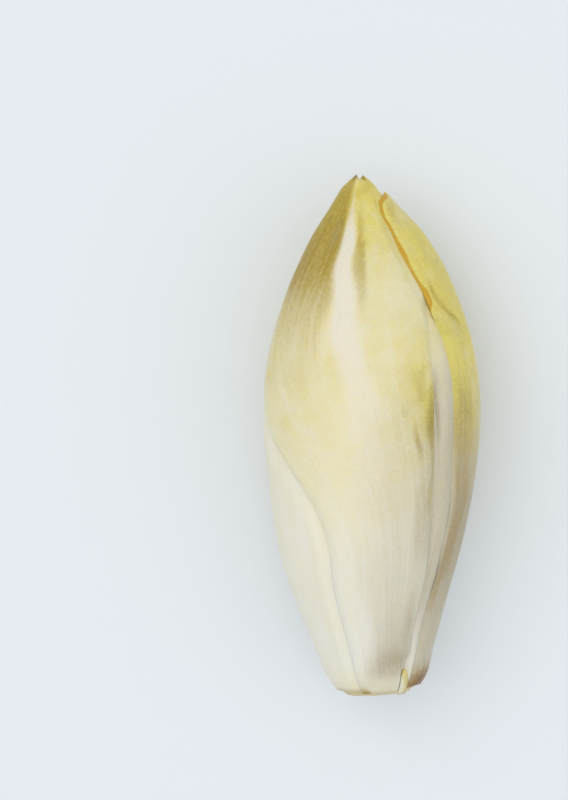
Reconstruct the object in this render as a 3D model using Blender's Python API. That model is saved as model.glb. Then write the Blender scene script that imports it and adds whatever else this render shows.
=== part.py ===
"""Belgian endive: one cut head of witloof chicory, lying on its side.

Metres, +Z up. The head's axis runs along +Y from the cut stem to the leaf tips, and the head rests
on a small flat spot under its belly. Every leaf is a closed blade wrapped round the head, packed from
the outside in: each one lies under the leaves that are placed before it.
"""

import math
from dataclasses import dataclass

import bmesh
import bpy
import numpy as np

MM = 0.001
NAME = "belgian_endive"

# The head's skin: distance along the axis from the cut, and half the width there, both in mm.
LENGTH = 143.0
HALF_WIDTH = (
    (0, 10.2), (4, 13.0), (12, 15.9), (25, 20.3), (40, 24.9), (58, 28.2), (76, 29.9),
    (92, 28.6), (106, 24.7), (118, 19.75), (127, 14.6), (134, 9.35), (139.5, 5.1), (LENGTH, 1.6),
)
# The axis sways a little to the side: distance along it and sideways shift, in mm.
SWAY = (
    (0, 0.0), (30, -1.0), (60, 0.6), (90, 1.7), (113, 2.15), (120, 2.25), (127, 2.05), (131.5, 1.7),
    (134.5, 1.4), (137, 1.15), (LENGTH, 0.8),
)
# Height of the head's section over its width: nearly round at the cut, flatter at the belly.
FLATNESS = ((0, 0.98), (40, 0.95), (60, 0.94), (80, 0.91), (LENGTH, 0.90))
REST_DEPTH = 25.7  # mm from the axis down to the surface that presses the belly flat
SQUARE_CUT = 15.0  # mm over which the layers turn from square to the cut to square to the skin

GAP = 0.45  # mm of air between one leaf and the next
EDGE = 0.7  # mm of thickness at a leaf's margin
CROWDING = 0.5  # how much closer a leaf's rows lie at its foot and tip than in its middle
RIB_WIDTH = 0.22  # share of a leaf's half width that its midrib takes

# The space inside the head is kept on a grid: how deep the leaves already reach at each place.
TURNS = 180
STEPS = 96
EASE = 5  # cells over which a leaf sinks from the skin to under its neighbour

# The stem and the heart bud fill the room inside the leaves: distance along the axis and the
# greatest radius there, in mm.
STEM = ((0, 10.4), (6, 10.2), (12, 9.0), (18, 8.0), (24, 6.0), (29, 1.0))
HEART = (
    (32, 1.0), (40, 6.5), (60, 12.0), (90, 13.0), (112, 12.0), (122, 10.0), (130, 7.5), (135, 4.5), (138, 1.0),
)
CORE_SIDES = 30
CORE_ROWS = 14
CORE_EASE = 3  # cells over which a core keeps clear of a leaf's margin
SEAM = 0.00001
INNER_LEAVES = 5
GOLDEN_ANGLE = 137.5

CREAM = (0.80, 0.74, 0.52)
YELLOW = (0.72, 0.62, 0.22)
IVORY = (0.85, 0.81, 0.68)
STEM_BEIGE = (0.72, 0.62, 0.42)


@dataclass
class Leaf:
    """One leaf: its two margins as (mm along, left angle, right angle), its tip and its thickness."""

    name: str
    sides: tuple
    foot: float
    tip: float
    drop: float  # mm from the tip down to where the sides start
    colour: tuple
    columns: int = 12
    rows: int = 20
    blade: tuple = ((0, 0.9), (0.25, 1.9), (0.5, 1.5), (0.8, 1.0), (1, 0.75))
    rib: tuple = ((0, 0.2), (0.2, 1.8), (0.4, 1.5), (0.75, 0.5), (1, 0.1))
    keel: tuple = ((0, 0.0), (1, 0.0))  # mm that the midrib stands out of the skin
    notch: float = 0.0  # mm that the tip is split over the midrib
    slack: float = 0.0  # mm of air under it, beside the gap


def curve(points, at):
    """A smooth curve through a few points, read at one place or at many."""
    xs, ys = np.array(points, float).T
    slopes = np.gradient(ys, xs)
    i = np.clip(np.searchsorted(xs, at, side="right") - 1, 0, len(xs) - 2)
    width = xs[i + 1] - xs[i]
    t = np.clip((at - xs[i]) / width, 0, 1)
    start = ys[i] * (1 + 2 * t) * (1 - t) ** 2 + width * slopes[i] * t * (1 - t) ** 2
    end = ys[i + 1] * t**2 * (3 - 2 * t) + width * slopes[i + 1] * t**2 * (t - 1)
    return start + end


def skin(angle, along, depth):
    """The place in mm at a depth under the head's skin; the angle turns from the top towards +X."""
    half = curve(HALF_WIDTH, along)
    slope = curve(HALF_WIDTH, along + 0.5) - curve(HALF_WIDTH, along - 0.5)
    lean = 1 / np.sqrt(1 + slope**2)
    inwards = depth * lean
    x = curve(SWAY, along) + (half - inwards) * np.sin(np.radians(angle))
    y = along + inwards * slope * np.clip(along / SQUARE_CUT, 0, 1)
    z = (curve(FLATNESS, along) * half - inwards) * np.cos(np.radians(angle))
    return np.stack([x, y, np.maximum(z, depth - REST_DEPTH)], axis=-1)


def origin():
    """The middle of the head's underside in mm, which becomes the object's origin."""
    along = np.linspace(0, LENGTH, 200)
    left = (curve(SWAY, along) - curve(HALF_WIDTH, along)).min()
    right = (curve(SWAY, along) + curve(HALF_WIDTH, along)).max()
    return np.array([(left + right) / 2, LENGTH / 2, -REST_DEPTH])


def middle_and_half(leaf, along):
    left = curve([(row[0], row[1]) for row in leaf.sides], along)
    right = curve([(row[0], row[2]) for row in leaf.sides], along)
    return (left + right) / 2, (right - left) / 2


def tip_line(leaf, across):
    """How far along the head the leaf ends, from its midrib (0) to its margins (-1 and 1)."""
    split = leaf.notch * np.exp(-(((across - 0.05) / 0.16) ** 2))
    return leaf.tip - leaf.drop * np.abs(across) ** 2.2 - split


def thickness(leaf, across, along):
    share = np.clip((along - leaf.foot) / (leaf.tip - leaf.foot), 0, 1)
    blade = EDGE + (curve(leaf.blade, share) - EDGE) * (1 - np.clip(across, -1, 1) ** 4)
    return blade + curve(leaf.rib, share) * np.exp(-((across / RIB_WIDTH) ** 2))


def eased(depth, cells=EASE):
    """The taken depth, spread a few cells outwards and smoothed, so that it is nowhere shallower."""
    spread = depth
    for _ in range(cells):
        spread = np.maximum(spread, np.maximum(np.roll(spread, 1, axis=0), np.roll(spread, -1, axis=0)))
        ends = np.pad(spread, ((0, 0), (1, 1)), mode="edge")
        spread = np.maximum(spread, np.maximum(ends[:, 2:], ends[:, :-2]))
    for _ in range(cells):
        spread = (np.roll(spread, 1, axis=0) + 2 * spread + np.roll(spread, -1, axis=0)) / 4
        ends = np.pad(spread, ((0, 0), (1, 1)), mode="edge")
        spread = (ends[:, 2:] + 2 * spread + ends[:, :-2]) / 4
    return spread


def read_grid(grid, angle, along):
    """The grid's value at a place, blended from the four cells round it."""
    row = np.mod(angle, 360) / 360 * TURNS
    column = np.clip(along / LENGTH, 0, 1) * (STEPS - 1)
    i = np.floor(row).astype(int)
    j = np.minimum(np.floor(column).astype(int), STEPS - 2)
    a = row - i
    b = column - j
    i = i % TURNS
    k = (i + 1) % TURNS
    near = grid[i, j] * (1 - b) + grid[i, j + 1] * b
    far = grid[k, j] * (1 - b) + grid[k, j + 1] * b
    return near * (1 - a) + far * a


def taken_by(leaf, eased_depth, depth):
    """The depth grid once the leaf is in its place."""
    angle, along = np.meshgrid(
        np.arange(TURNS) * 360 / TURNS, np.linspace(0, LENGTH, STEPS), indexing="ij"
    )
    middle, half = middle_and_half(leaf, along)
    across = (np.mod(angle - middle + 180, 360) - 180) / half
    inside = (np.abs(across) <= 1) & (along >= leaf.foot) & (along <= tip_line(leaf, across))
    share = np.clip((along - leaf.foot) / (leaf.tip - leaf.foot), 0, 1)
    reach = eased_depth + thickness(leaf, across, along) + GAP + leaf.slack * np.sin(np.pi * share)
    return np.where(inside, np.maximum(depth, reach), depth)


def material(name, colour, roughness=0.45):
    made = bpy.data.materials.new(name)
    made.use_nodes = True
    shader = made.node_tree.nodes["Principled BSDF"]
    shader.inputs["Base Color"].default_value = (*colour, 1)
    shader.inputs["Roughness"].default_value = roughness
    shader.inputs["Metallic"].default_value = 0
    return made


def finish(shape, name, colour, collection):
    """A bmesh made into a smooth-shaded object of the collection."""
    mesh = bpy.data.meshes.new(name)
    shape.to_mesh(mesh)
    shape.free()
    mesh.shade_smooth()
    made = bpy.data.objects.new(name, mesh)
    made.data.materials.append(material(name, colour))
    collection.objects.link(made)
    return made


def blank(columns, rows):
    """A flat slab of grid faces, 2 x 2 x 1, whose top is split into triangles as its bottom is."""
    shape = bmesh.new()
    bmesh.ops.create_grid(shape, x_segments=columns, y_segments=rows, size=1)
    bmesh.ops.triangulate(shape, faces=shape.faces[:], quad_method="ALTERNATE")
    grown = bmesh.ops.extrude_face_region(shape, geom=shape.faces[:], use_keep_orig=True)
    tops = [item for item in grown["geom"] if isinstance(item, bmesh.types.BMVert)]
    bmesh.ops.translate(shape, verts=tops, vec=(0, 0, 1))
    bmesh.ops.recalc_face_normals(shape, faces=shape.faces[:])
    return shape


def laid(leaf, spots, eased_depth):
    """Where a leaf's blank comes to lie: across it in X, along it in Y, through its thickness in Z."""
    across = spots[:, 0]
    rise = (spots[:, 1] + 1) / 2
    rise = rise - CROWDING * np.sin(2 * math.pi * rise) / (2 * math.pi)
    along = leaf.foot + (tip_line(leaf, across) - leaf.foot) * rise
    middle, half = middle_and_half(leaf, along)
    angle = middle + across * half
    covered = read_grid(eased_depth, angle, along)
    bare = np.clip(1 - covered / GAP, 0, 1)
    ridge = np.exp(-((across / RIB_WIDTH) ** 2)) * bare
    proud = curve(leaf.keel, (along - leaf.foot) / (leaf.tip - leaf.foot)) * ridge
    inner = thickness(leaf, across, along)
    return skin(angle, along, covered + inner * (1 - spots[:, 2]) - proud * spots[:, 2])


def leaf_solid(leaf, eased_depth, collection):
    """A leaf's blank laid on the head under the leaves outside it."""
    shape = blank(leaf.columns, leaf.rows)
    spots = np.array([vert.co[:] for vert in shape.verts])
    for vert, spot in zip(shape.verts, laid(leaf, spots, eased_depth) - origin()):
        vert.co = spot * MM
    return finish(shape, leaf.name, leaf.colour, collection)


def outer_leaves():
    """The leaves that show, the outermost first."""
    stub = Leaf(
        "leaf_stub",
        ((0, 30.5, 45), (3, 29.5, 41.5), (5, 28.7, 39), (7, 28.5, 36)),
        foot=0.0, tip=7.0, drop=2.5, colour=YELLOW, columns=4, rows=5,
        blade=((0, 0.9), (1, 0.8)), rib=((0, 0.2), (1, 0.0)),
    )
    right = Leaf(
        "leaf_right",
        (
            (0, 47, 135), (8, 45, 138), (18, 46, 141), (24, 49.5, 143), (31, 53, 144), (40, 52, 146),
            (49, 52.5, 147), (58, 50, 148), (67, 47.5, 149), (78, 47, 150), (90, 46, 150), (95, 44, 150),
            (102, 41, 149), (106, 39.2, 149), (110, 36.5, 148), (114, 33, 148), (118, 29.3, 148), (122, 26.1, 147),
            (127, 24.6, 146), (131, 23, 144), (133.5, 26.4, 142), (135.3, 32.4, 138), (137.8, 46, 128),
        ),
        foot=2.2, tip=137.8, drop=2.5, colour=YELLOW, columns=13, rows=22,
    )
    front = Leaf(
        "leaf_front",
        (
            (0, -27, 36), (8, -28, 35.3), (14, -28, 37.2), (20, -28, 38.2), (27, -29, 40.5), (32, -29, 41),
            (40, -28, 38.8), (52, -36, 37), (64, -55, 35), (76, -78, 34), (90, -97, 34.4), (99, -104, 35.6),
            (106, -108, 39), (113, -110, 50), (120, -112, 60), (132, -112, 75), (LENGTH, -110, 90),
        ),
        foot=0.7, tip=LENGTH, drop=7.0, colour=CREAM, columns=16, rows=22,
        keel=((0, 0.0), (0.6, 0.3), (0.85, 0.7), (1, 0.3)), notch=1.8,
    )
    back = Leaf(
        "leaf_back",
        ((0, 128, 236), (20, 130, 240), (45, 132, 243), (76, 132, 246), (100, 134, 243),
         (120, 134, 238), (138, 134, 236)),
        foot=0.0, tip=138.0, drop=6.0, colour=CREAM, columns=14, rows=22,
    )
    left = Leaf(
        "leaf_left",
        ((0, -142, -8), (20, -142, -8), (40, -140, -6), (60, -140, -14), (80, -143, -38),
         (100, -145, -50), (135, -140, -50)),
        foot=1.4, tip=135.0, drop=6.0, colour=IVORY, columns=14, rows=20,
    )
    strip = Leaf(
        "leaf_strip",
        ((0, 5, 95), (20, 8, 98), (40, 5, 105), (60, 0, 110), (80, -5, 110), (100, -10, 105),
         (135, -15, 105)),
        foot=1.6, tip=135.0, drop=6.0, colour=IVORY, columns=12, rows=18,
    )
    return [stub, right, front, back, left, strip]


def inner_leaves():
    """The leaves inside, each a golden angle on from the last, higher on the stem and shorter."""
    made = []
    for number in range(INNER_LEAVES):
        middle = 200 + number * GOLDEN_ANGLE
        foot = 12 + 4.5 * number
        tip = 135.5 - 3.5 * number
        sides = (
            (foot, middle - 70, middle + 70), (foot + 25, middle - 95, middle + 95),
            ((foot + tip) / 2, middle - 118, middle + 118), (tip, middle - 105, middle + 105),
        )
        made.append(
            Leaf(
                f"leaf_inner_{number + 1}", sides, foot=foot, tip=tip, drop=7.0, colour=CREAM,
                columns=18, rows=12, blade=((0, 0.8), (0.25, 3.1), (0.6, 2.8), (1, 0.8)),
                rib=((0, 0.1), (0.3, 0.9), (0.6, 0.6), (1, 0.1)),
            )
        )
    return made


def core(name, outline, depth, colour, collection):
    """A body on the head's axis that fills the room inside the leaves, no thicker than its outline."""
    shape = bmesh.new()
    bmesh.ops.create_grid(shape, x_segments=CORE_SIDES, y_segments=CORE_ROWS, size=0.5)
    room = eased(depth, CORE_EASE) + GAP
    for vert in shape.verts:
        angle = 360 * (vert.co.x + 0.5)
        along = outline[0][0] + (outline[-1][0] - outline[0][0]) * (vert.co.y + 0.5)
        wall = skin(angle, along, read_grid(room, angle, along))
        axis = np.array([curve(SWAY, along), wall[1], 0])
        radius = math.hypot(wall[0] - axis[0], wall[2])
        kept = min(1, curve(outline, along) / radius)
        vert.co = (axis + (wall - axis) * kept - origin()) * MM
    bmesh.ops.remove_doubles(shape, verts=shape.verts[:], dist=SEAM)
    bmesh.ops.holes_fill(shape, edges=shape.edges[:], sides=CORE_SIDES)
    bmesh.ops.recalc_face_normals(shape, faces=shape.faces[:])
    made = finish(shape, name, colour, collection)
    made.data.set_sharp_from_angle(angle=math.radians(50))
    return made


def main():
    for old in list(bpy.data.objects):
        bpy.data.objects.remove(old)
    collection = bpy.data.collections.new(NAME)
    bpy.context.scene.collection.children.link(collection)
    depth = np.zeros((TURNS, STEPS))
    for leaf in outer_leaves() + inner_leaves():
        eased_depth = eased(depth)
        leaf_solid(leaf, eased_depth, collection)
        depth = taken_by(leaf, eased_depth, depth)
    core("stem", STEM, depth, STEM_BEIGE, collection)
    core("heart_bud", HEART, depth, CREAM, collection)


main()
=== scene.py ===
"""Looks of a Belgian endive: fine leaves, cut stem, pale floor, soft light and camera.

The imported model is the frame. Each of its solids is replaced by a finer piece of the same form: a leaf
is a flat blank, laid on the head under the leaves outside it, with its veins, midrib and margins.
Lengths of the head's own form are in millimetres, and everything handed to Blender is in metres.
"""

import logging
import math
from dataclasses import dataclass, field
from enum import Enum
from typing import Any

import bmesh
import bpy
import numpy as np
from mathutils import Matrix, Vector

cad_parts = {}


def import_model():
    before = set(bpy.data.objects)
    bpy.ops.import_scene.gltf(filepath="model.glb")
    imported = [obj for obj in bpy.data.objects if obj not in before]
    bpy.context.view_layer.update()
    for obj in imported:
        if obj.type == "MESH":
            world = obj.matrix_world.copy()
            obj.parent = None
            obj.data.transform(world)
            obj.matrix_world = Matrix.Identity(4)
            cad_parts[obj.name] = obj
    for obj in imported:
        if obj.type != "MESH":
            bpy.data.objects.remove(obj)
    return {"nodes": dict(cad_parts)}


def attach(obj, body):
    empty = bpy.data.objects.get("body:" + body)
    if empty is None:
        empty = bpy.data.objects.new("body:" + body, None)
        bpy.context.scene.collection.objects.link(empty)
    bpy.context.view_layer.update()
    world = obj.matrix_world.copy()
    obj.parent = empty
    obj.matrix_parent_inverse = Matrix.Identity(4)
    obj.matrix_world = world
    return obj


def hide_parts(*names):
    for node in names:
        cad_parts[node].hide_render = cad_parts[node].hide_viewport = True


log = logging.getLogger("belgian_endive")

MM = 0.001
LATTICE = 64  # cells each way before a seeded noise repeats
NARROWEST = 0.1  # degrees; keeps a band's half width above nothing
CREASE = math.radians(70)  # faces that meet at more than this are shaded with an edge

Array = np.ndarray
Stations = tuple[tuple[float, ...], ...]
Socket = bpy.types.NodeSocket


class Tint(Enum):
    """The pigments and marks that a patch on a leaf can carry, each kept as its own attribute. The
    grey-brown tint is painted shade; olive and stain also lay painted shade in creases, hollows and on
    flanks turned from the light, and pale also lays a painted highlight on one lit margin.
    """

    GOLD = "gold"
    OLIVE_AND_SHADE = "olive"
    PALE_AND_HIGHLIGHT = "pale"
    STAIN_AND_SHADE = "stain_and_shade"
    PAINTED_SHADE = "painted_shade"
    BRUISE = "bruise"


class Draw(Enum):
    """What a leaf's seed is moved on by, so that each of its patterns is drawn on its own."""

    DENTS = 0
    VEIN_PATHS = 10
    VEIN_HEIGHTS = 20
    BRANCHES = 30
    MARKS = 40


def linear(code: str) -> tuple[float, float, float, float]:
    """Turns an sRGB hex colour into linear RGBA.

    Args:
        code: The colour as "#RRGGBB".

    Returns:
        Linear red, green and blue, and an alpha of 1.
    """
    parts = [int(code[i : i + 2], 16) / 255 for i in (1, 3, 5)]
    red, green, blue = (c / 12.92 if c <= 0.04045 else ((c + 0.055) / 1.055) ** 2.4 for c in parts)
    return red, green, blue, 1.0


def curve(points: Stations, at: Any, column: int = 1) -> Any:
    """Reads a smooth curve through a few points.

    Args:
        points: Rows that start with a place, in order of place.
        at: One place or an array of them.
        column: Which number of each row is read.

    Returns:
        The curve's value at each place, held level past its ends.
    """
    rows = np.array(points, float)
    xs, ys = rows[:, 0], rows[:, column]
    slopes = np.gradient(ys, xs)
    i = np.clip(np.searchsorted(xs, at, side="right") - 1, 0, len(xs) - 2)
    width = xs[i + 1] - xs[i]
    t = np.clip((at - xs[i]) / width, 0, 1)
    start = ys[i] * (1 + 2 * t) * (1 - t) ** 2 + width * slopes[i] * t * (1 - t) ** 2
    end = ys[i + 1] * t**2 * (3 - 2 * t) + width * slopes[i + 1] * t**2 * (t - 1)
    return start + end


def step(value: Array, low: float, high: float) -> Array:
    """A smooth rise from 0 at low to 1 at high, or a fall where high is the smaller."""
    t = np.clip((value - low) / (high - low), 0, 1)
    return t * t * (3 - 2 * t)


def hump(off: Array) -> Array:
    """A soft hump, 1 in the middle and near 0 from twice its half width."""
    return np.exp(-(off**2))


def turned(angle: Array, middle: Array) -> Array:
    """Degrees from the middle to the angle, the short way round."""
    return np.mod(angle - middle + 180, 360) - 180


def soft_noise(x: Array, y: Array, seed: int) -> Array:
    """Smooth seeded noise over a plane, one cell to a unit.

    Args:
        x: First coordinate.
        y: Second coordinate.
        seed: Picks the pattern.

    Returns:
        Values from about -1 to 1.
    """
    lattice = np.random.default_rng(seed).uniform(-1, 1, (LATTICE, LATTICE))
    i, j = np.floor(x).astype(int), np.floor(y).astype(int)
    a, b = step(x - i, 0, 1), step(y - j, 0, 1)
    corner = [[lattice[(i + p) % LATTICE, (j + q) % LATTICE] for q in (0, 1)] for p in (0, 1)]
    near = corner[0][0] * (1 - b) + corner[0][1] * b
    far = corner[1][0] * (1 - b) + corner[1][1] * b
    return near * (1 - a) + far * a


@dataclass(frozen=True)
class HeadForm:
    """The skin of the whole head round its axis, in mm from the cut."""

    length: float = 143.0
    half_width: Stations = (
        (0, 10.2), (4, 13), (12, 15.9), (25, 20.3), (40, 24.9), (58, 28.2), (76, 29.9), (92, 28.6),
        (106, 24.7), (118, 19.75), (127, 14.6), (134, 9.35), (139.5, 5.1), (143, 1.6),
    )
    sway: Stations = (
        (0, 0), (30, -1), (60, 0.6), (90, 1.7), (113, 2.15), (120, 2.25), (127, 2.05), (131.5, 1.7),
        (134.5, 1.4), (137, 1.15), (143, 0.8),
    )
    flatness: Stations = ((0, 0.98), (40, 0.95), (60, 0.94), (80, 0.91), (143, 0.9))  # depth over width
    rest_depth: float = 25.7  # from the axis down to the flat belly
    square_cut: float = 15.0  # below this the leaves' ends turn square to the axis
    half_span: float = 0.5  # on each side of a place, for the slope there
    samples: int = 200

    def skin(self, angle: Any, along: Any, depth: Any) -> Array:
        """Finds a place under the skin.

        Args:
            angle: Degrees round the axis, from the top towards +X.
            along: mm from the cut.
            depth: mm under the skin.

        Returns:
            x, y and z in mm from the axis at the cut.
        """
        half = curve(self.half_width, along)
        ahead, behind = (curve(self.half_width, along + way) for way in (self.half_span, -self.half_span))
        slope = (ahead - behind) / (2 * self.half_span)
        inwards = depth / np.sqrt(1 + slope**2)
        x = curve(self.sway, along) + (half - inwards) * np.sin(np.radians(angle))
        y = along + inwards * slope * np.clip(along / self.square_cut, 0, 1)
        z = (curve(self.flatness, along) * half - inwards) * np.cos(np.radians(angle))
        return np.stack([x, y, np.maximum(z, depth - self.rest_depth)], axis=-1)

    def origin(self) -> Array:
        """The middle of the head's underside, where the frame has its origin."""
        along = np.linspace(0, self.length, self.samples)
        left = (curve(self.sway, along) - curve(self.half_width, along)).min()
        right = (curve(self.sway, along) + curve(self.half_width, along)).max()
        return np.array([(left + right) / 2, self.length / 2, -self.rest_depth])


@dataclass
class Room:
    """How deep the leaves already laid reach under the skin, on a grid of turns and steps."""

    form: HeadForm
    turns: int = 360
    steps: int = 191
    gap: float = 0.12  # mm of air between two leaves
    depth: Array = field(init=False)

    def __post_init__(self) -> None:
        """Starts with nothing laid."""
        self.depth = np.zeros((self.turns, self.steps))

    @staticmethod
    def beside(grid: Array) -> tuple[Array, Array, Array, Array]:
        """The grid moved by one cell each way: round the axis it closes, and along it its ends hold."""
        ends = np.pad(grid, ((0, 0), (1, 1)), mode="edge")
        return np.roll(grid, 1, axis=0), np.roll(grid, -1, axis=0), ends[:, 2:], ends[:, :-2]

    def eased(self, cells: int) -> Array:
        """Spreads the depth outwards and smooths it, so that it is nowhere shallower.

        Args:
            cells: How many cells it spreads.

        Returns:
            The eased depth on the grid, in mm.
        """
        spread = self.depth
        for _ in range(cells):
            left, right, _, _ = self.beside(spread)
            spread = np.maximum(spread, np.maximum(left, right))
            _, _, above, below = self.beside(spread)
            spread = np.maximum(spread, np.maximum(above, below))
        for _ in range(cells):
            left, right, _, _ = self.beside(spread)
            spread = (left + 2 * spread + right) / 4
            _, _, above, below = self.beside(spread)
            spread = (above + 2 * spread + below) / 4
        return spread

    def read(self, grid: Array, angle: Array, along: Array) -> Array:
        """Reads a grid at any place, blended from the sixteen cells round it.

        Args:
            grid: Values on the room's grid.
            angle: Degrees round the axis.
            along: mm from the cut.

        Returns:
            The blended values.
        """
        row = np.mod(angle, 360) / 360 * self.turns
        column = np.clip(along / self.form.length, 0, 1) * (self.steps - 1)
        i, j = np.floor(row).astype(int), np.floor(column).astype(int)
        value = np.zeros(np.shape(row))
        for p, across in enumerate(self.blend(row - i)):
            for q, down in enumerate(self.blend(column - j)):
                near = grid[(i + p - 1) % self.turns, np.clip(j + q - 1, 0, self.steps - 1)]
                value += across * down * near
        return value

    @staticmethod
    def blend(t: Array) -> tuple[Array, Array, Array, Array]:
        """The four weights of a smooth blend at a share t of a cell."""
        first, last = (1 - t) ** 3 / 6, t**3 / 6
        second = (3 * t**3 - 6 * t**2 + 4) / 6
        return first, second, 1 - first - second - last, last


@dataclass
class Graph:
    """The node tree of one material, and the one function that adds to it."""

    name: str
    material: bpy.types.Material = field(init=False)
    shader: bpy.types.Node = field(init=False)

    def __post_init__(self) -> None:
        """Starts from Blender's own Principled shader."""
        self.material = bpy.data.materials.new(self.name)
        self.material.use_nodes = True
        self.shader = self.material.node_tree.nodes["Principled BSDF"]

    def put(self, socket: Socket, value: Any) -> None:
        """Links a socket to an input, or sets a value on it."""
        if isinstance(value, Socket):
            self.material.node_tree.links.new(value, socket)
        else:
            socket.default_value = value

    def add(self, kind: str, inputs: dict[Any, Any], out: Any = 0, **settings: Any) -> Socket:
        """Adds a node, with its settings and links.

        Args:
            kind: The node's type, without its "ShaderNode".
            inputs: What goes into each input, as a socket to link or a value to set.
            out: The output that is handed back.
            settings: The node's own properties; "stops" are a ramp's (place, hex colour) pairs.

        Returns:
            The chosen output.
        """
        node = self.material.node_tree.nodes.new(f"ShaderNode{kind}")
        stops = settings.pop("stops", ())
        if stops:
            elements = node.color_ramp.elements
            elements[0].position, elements[-1].position = stops[0][0], stops[-1][0]
            for place, _ in stops[1:-1]:
                elements.new(place)
            for stop, (_, code) in zip(elements, stops):
                stop.color = linear(code)
        for key, value in settings.items():
            setattr(node, key, value)
        for key, value in inputs.items():
            self.put(node.inputs[key], value)
        return node.outputs[out]

    def set(self, **inputs: Any) -> None:
        """Sets or links the shader's own sockets, named with _ for each space."""
        for key, value in inputs.items():
            self.put(self.shader.inputs[key.replace("_", " ")], value)


@dataclass(frozen=True)
class LeafFinish:
    """Blanched chicory leaf: moist, waxy and a little see-through, ivory at the foot and yellow above.

    A pattern's Scale is its cells to a metre. So a yellow patch comes every 10 mm, a soft cloud every
    6 mm, a crinkle every 3 mm, a cell of the vein net every 1.5 mm and a grain of the skin every 1 mm.
    """

    name: str
    slot: str
    grounds: tuple[tuple[float, str], ...] = (
        (0.02, "#ECE8DC"), (0.32, "#EBE2BE"), (0.62, "#E9DA98"), (0.9, "#E9D772"),
    )  # from ivory by way of cream to deep yellow, as the gold grows
    moss: str = "#CDBD52"
    amber: str = "#D4A62C"
    bruise: str = "#7A4A24"
    tints: tuple[tuple[Tint, str, float], ...] = (
        (Tint.OLIVE_AND_SHADE, "#AE931A", 0.75), (Tint.PALE_AND_HIGHLIGHT, "#EDE4CE", 0.3), (Tint.PAINTED_SHADE, "#AFA383", 0.4),
        (Tint.STAIN_AND_SHADE, "#A6843C", 0.6), (Tint.BRUISE, "#7A4A24", 1.0),
    )  # in the order they are laid, each with how much it is broken up; the grey-brown one is painted shade, and olive, stain and pale also carry painted shade or a painted highlight on some leaves
    by_streaks: float = 0.5  # how far the streaks break up a mark
    by_grain: float = 0.4
    tint_strength: float = 1.3
    leafy_from: float = 0.3  # gold above which the blade is thin and netted
    leafy_to: float = 0.75
    mottle: float = 0.5  # how far the clouds sway the gold, for each unit of it
    least_mottle: float = 0.04
    streak: float = 0.12  # how far the streaks do
    vein_width: float = 0.16  # half a line's width, in spaces between the lines
    branch_width: float = 0.13
    net_width: float = 0.14
    branch_fade: float = -0.06  # what a side vein takes off the gold
    net_fade: float = -0.16
    strands: tuple[float, float] = (1.4, 0.035)  # streaks to a vein across, and to a mm along
    patch_share: float = 0.5
    patch_range: tuple[float, float] = (0.5, 0.72)  # of the noise, over which a patch sets in
    ragged: tuple[float, float] = (1.4, 0.3)  # how far the clouds widen the browned margin, and its least
    rim_fade: tuple[float, float] = (-0.05, 0.25)  # mm over which its brown sets in
    cut_height: tuple[float, float] = (1.2, 0.1)  # mm over which the cut end browns
    cut_strength: float = 0.6
    crinkle_height: float = 1.7
    vein_height: float = 0.06
    branch_height: float = 0.25
    net_height: float = 0.3
    streak_height: float = 0.14
    grain_height: float = 0.12
    bump: float = 0.6
    bump_depth: float = 0.7 * MM
    roughness: float = 0.42
    glossier: float = 0.06
    duller: float = 0.08
    sheen_range: tuple[float, float] = (0.3, 0.7)  # of the clouds, from glossier to duller
    ior: float = 1.42
    glow: float = 0.25
    glow_radius: tuple[float, float, float] = (1.0, 0.75, 0.35)  # red light reaches furthest
    glow_depth: float = 2 * MM

    def build(self) -> bpy.types.Material:
        """Wires the finish from the leaf's own attributes.

        Returns:
            The finished material.
        """
        graph = Graph(self.name)
        read = self.patterns(graph)
        start, end = self.sheen_range
        sheen = graph.add("MapRange", {
            0: read["clouds"], 1: start, 2: end,
            3: self.roughness - self.glossier, 4: self.roughness + self.duller,
        })
        graph.set(
            Base_Color=self.coloured(graph, read), Roughness=sheen, Normal=self.ridged(graph, read),
            IOR=self.ior, Subsurface_Weight=self.glow, Subsurface_Radius=self.glow_radius,
            Subsurface_Scale=self.glow_depth,
        )
        return graph.material

    def patterns(self, graph: Graph) -> dict[str, Socket]:
        """Reads the leaf's attributes and lays its noises and veins over it.

        Args:
            graph: The material's nodes.

        Returns:
            Each attribute and pattern by its name.
        """
        names = [tint.value for tint in Tint] + ["along", "edge", "rim", "veins", "branches"]
        made = {name: graph.add("Attribute", {}, "Fac", attribute_name=name) for name in names}
        place = graph.add("TexCoord", {}, "Object")
        wide, long = self.strands
        strand = graph.add("CombineXYZ", {
            0: graph.add("Math", {0: made["veins"], 1: wide}, operation="MULTIPLY"),
            1: graph.add("Math", {0: made["along"], 1: long}, operation="MULTIPLY"),
        })
        for name, vector, scale, detail, roughness, distortion in (
            ("clouds", place, 160.0, 4.0, 0.6, 0.0),
            ("grain", place, 900.0, 3.0, 0.6, 0.0),
            ("patches", place, 95.0, 5.0, 0.65, 0.6),
            ("crinkle", place, 380.0, 5.0, 0.62, 0.0),
            ("streaks", strand, 1.0, 3.0, 0.55, 0.0),
        ):
            made[name] = graph.add("TexNoise", {
                "Vector": vector, "Scale": scale, "Detail": detail, "Roughness": roughness,
                "Distortion": distortion,
            })
        cells = graph.add("TexVoronoi", {"Vector": place, "Scale": 650.0}, feature="DISTANCE_TO_EDGE")
        made["leafy"] = graph.add("MapRange", {0: made["gold"], 1: self.leafy_from, 2: self.leafy_to})
        made["vein"] = self.line(graph, made["veins"], self.vein_width)
        made["branch"] = self.line(graph, made["branches"], self.branch_width)
        made["net"] = graph.add(
            "MapRange", {0: cells, 1: self.net_width, 2: 0.0}, interpolation_type="SMOOTHSTEP"
        )
        for name, shares in (("branch", ("leafy", "clouds")), ("net", ("leafy", "grain"))):
            for share in shares:
                made[name] = graph.add("Math", {0: made[name], 1: made[share]}, operation="MULTIPLY")
        return made

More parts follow.
